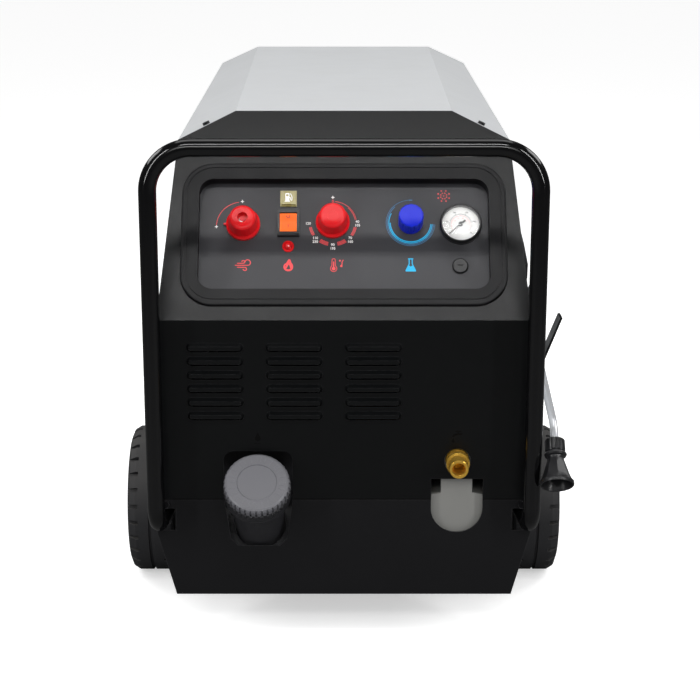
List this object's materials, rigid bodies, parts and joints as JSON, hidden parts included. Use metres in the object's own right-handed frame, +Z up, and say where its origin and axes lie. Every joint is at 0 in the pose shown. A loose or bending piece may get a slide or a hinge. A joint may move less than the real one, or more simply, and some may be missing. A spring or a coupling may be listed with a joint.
{
  "type": "pressure washer",
  "caption": "Cabinet pressure washer with folded metal canopy, sloped control panel, tube push handle, two large wheels, swivel casters and a lance on side hooks.",
  "frame": {"origin": "floor level, middle of the overall footprint", "axes": "+X right, +Y from the operator side to the rear, +Z up"},
  "size_m": [0.76, 1.201, 0.855],
  "materials": {
    "silver_sheet": "satin silver paint",
    "black_sheet": "satin black powder coat",
    "bezel_black": "satin moulded",
    "panel_dark": "fine texture",
    "gloss_black": "gloss black paint",
    "red_plastic": "satin red",
    "blue_plastic": "satin blue",
    "black_plastic": "satin black",
    "orange_lens": "translucent orange",
    "olive_lens": "translucent olive",
    "red_lens": "translucent red",
    "dial_white": "printed dial",
    "clear_lens": "clear",
    "cap_grey": "satin grey",
    "tank_black": "rotomoulded black",
    "tank_grey": "moulded light grey",
    "seal_rubber": "soft",
    "brass": "machined",
    "chrome": "bright",
    "tyre_rubber": "matt",
    "hub_plastic": "moulded",
    "zinc_steel": "zinc plated",
    "caster_grey": "solid rubber",
    "boiler_steel": "galvanised",
    "motor_paint": "painted casting",
    "steel": "machined",
    "pump_metal": "cast",
    "screw_black": "black"
  },
  "bodies": {
    "cabinet": {"chassis_tray": "black_sheet", "front_skirt": "black_sheet", "front_fascia": "black_sheet", "canopy": "silver_sheet", "left_side_panel": "black_sheet", "right_side_panel": "black_sheet", "rear_panel": "black_sheet", "panel_bezel": "bezel_black", "control_panel": "panel_dark", "pressure_regulator": "black_plastic", "thermostat": "black_plastic", "dosing_valve": "black_plastic", "gauge_case": "black_plastic", "gauge_dial": "dial_white", "gauge_lens": "clear_lens", "switch_housing": "black_plastic", "fuel_lamp": "olive_lens", "burner_lamp": "red_lens", "blanking_plug": "black_plastic", "fuel_tank": "tank_black", "float_tank": "tank_grey", "inlet_fitting": "brass", "push_handle": "gloss_black", "handle_bolts": "screw_black", "canopy_screws": "screw_black", "axle_beam": "black_sheet", "wheel_axle": "steel", "axle_collars": "hub_plastic", "left_caster_plate": "zinc_steel", "right_caster_plate": "zinc_steel", "boiler_drum": "boiler_steel", "burner": "pump_metal", "exhaust_flue": "boiler_steel", "motor_housing": "motor_paint", "high_pressure_pump": "pump_metal", "outlet_fitting": "brass", "front_lance_hook": "black_sheet", "rear_lance_hook": "black_sheet"},
    "left_wheel": {"left_tyre": "tyre_rubber", "left_wheel_hub": "hub_plastic"},
    "right_wheel": {"right_tyre": "tyre_rubber", "right_wheel_hub": "hub_plastic"},
    "left_caster_swivel": {"left_caster_fork": "zinc_steel"},
    "right_caster_swivel": {"right_caster_fork": "zinc_steel"},
    "left_caster_roller": {"left_caster_wheel": "caster_grey"},
    "right_caster_roller": {"right_caster_wheel": "caster_grey"},
    "pressure_control": {"pump_knob": "red_plastic"},
    "temperature_control": {"thermostat_knob": "red_plastic"},
    "dosing_control": {"chemical_knob": "blue_plastic"},
    "rocker": {"rocker_switch": "orange_lens"},
    "pressure_needle": {"gauge_needle": "black_plastic"},
    "filler_seal": {"cap_seal": "seal_rubber"},
    "filler_cap": {"fuel_cap": "cap_grey"},
    "lance": {"lance_pipe": "chrome", "nozzle_guard": "seal_rubber", "gun_body": "black_plastic"},
    "trigger": {"gun_trigger": "black_plastic"},
    "motor_shaft": {"motor_rotor": "steel", "cooling_fan": "black_plastic"}
  },
  "joints": [
    {"name": "left_wheel_spin", "type": "hinge", "parent": "cabinet", "child": "left_wheel", "pos_m": [-0.34, -0.1675, 0.13], "axis": [1, 0, 0], "continuous": true},
    {"name": "right_wheel_spin", "type": "hinge", "parent": "cabinet", "child": "right_wheel", "pos_m": [0.34, -0.1675, 0.13], "axis": [1, 0, 0], "continuous": true},
    {"name": "left_caster_turn", "type": "hinge", "parent": "cabinet", "child": "left_caster_swivel", "pos_m": [-0.205, 0.4395, 0.128], "axis": [0, 0, 1], "continuous": true},
    {"name": "right_caster_turn", "type": "hinge", "parent": "cabinet", "child": "right_caster_swivel", "pos_m": [0.205, 0.4395, 0.128], "axis": [0, 0, 1], "continuous": true},
    {"name": "left_caster_spin", "type": "hinge", "parent": "left_caster_swivel", "child": "left_caster_roller", "pos_m": [-0.205, 0.4775, 0.0625], "axis": [1, 0, 0], "continuous": true},
    {"name": "right_caster_spin", "type": "hinge", "parent": "right_caster_swivel", "child": "right_caster_roller", "pos_m": [0.205, 0.4775, 0.0625], "axis": [1, 0, 0], "continuous": true},
    {"name": "pressure_turn", "type": "hinge", "parent": "cabinet", "child": "pressure_control", "pos_m": [-0.163, -0.40753, 0.69293], "axis": [0, -0.8329, 0.5534], "range_deg": [-90, 0]},
    {"name": "temperature_turn", "type": "hinge", "parent": "cabinet", "child": "temperature_control", "pos_m": [-0.018, -0.40532, 0.69626], "axis": [0, -0.8329, 0.5534], "range_deg": [-270, 0]},
    {"name": "dosing_turn", "type": "hinge", "parent": "cabinet", "child": "dosing_control", "pos_m": [0.108, -0.40532, 0.69626], "axis": [0, -0.8329, 0.5534], "range_deg": [-270, 0]},
    {"name": "switch_tilt", "type": "hinge", "parent": "cabinet", "child": "rocker", "pos_m": [-0.09, -0.3931, 0.68574], "axis": [1, 0, 0], "range_deg": [-14, 0]},
    {"name": "needle_turn", "type": "hinge", "parent": "cabinet", "child": "pressure_needle", "pos_m": [0.189, -0.40753, 0.69293], "axis": [0, -0.8329, 0.5534], "range_deg": [-260, 0], "stiffness_Nm_per_rad": 0.0004, "springref_deg": 57.3},
    {"name": "cap_lift", "type": "slide", "parent": "cabinet", "child": "filler_seal", "axis": [0, -0.6756, 0.7373], "range_m": [0, 0.15]},
    {"name": "cap_turn", "type": "hinge", "parent": "filler_seal", "child": "filler_cap", "pos_m": [-0.139, -0.54508, 0.28922], "axis": [0, -0.6756, 0.7373], "range_deg": [0, 540]},
    {"name": "lance_lift", "type": "slide", "parent": "cabinet", "child": "lance", "axis": [0, 0, 1], "range_m": [0, 0.12]},
    {"name": "trigger_pull", "type": "hinge", "parent": "lance", "child": "trigger", "pos_m": [0.337, 0.20132, 0.47653], "axis": [1, 0, 0], "range_deg": [0, 9], "stiffness_Nm_per_rad": 0.6, "springref_deg": -17.19},
    {"name": "motor_spin", "type": "hinge", "parent": "cabinet", "child": "motor_shaft", "pos_m": [0.07, -0.1505, 0.25], "axis": [0, 1, 0], "continuous": true}
  ]
}
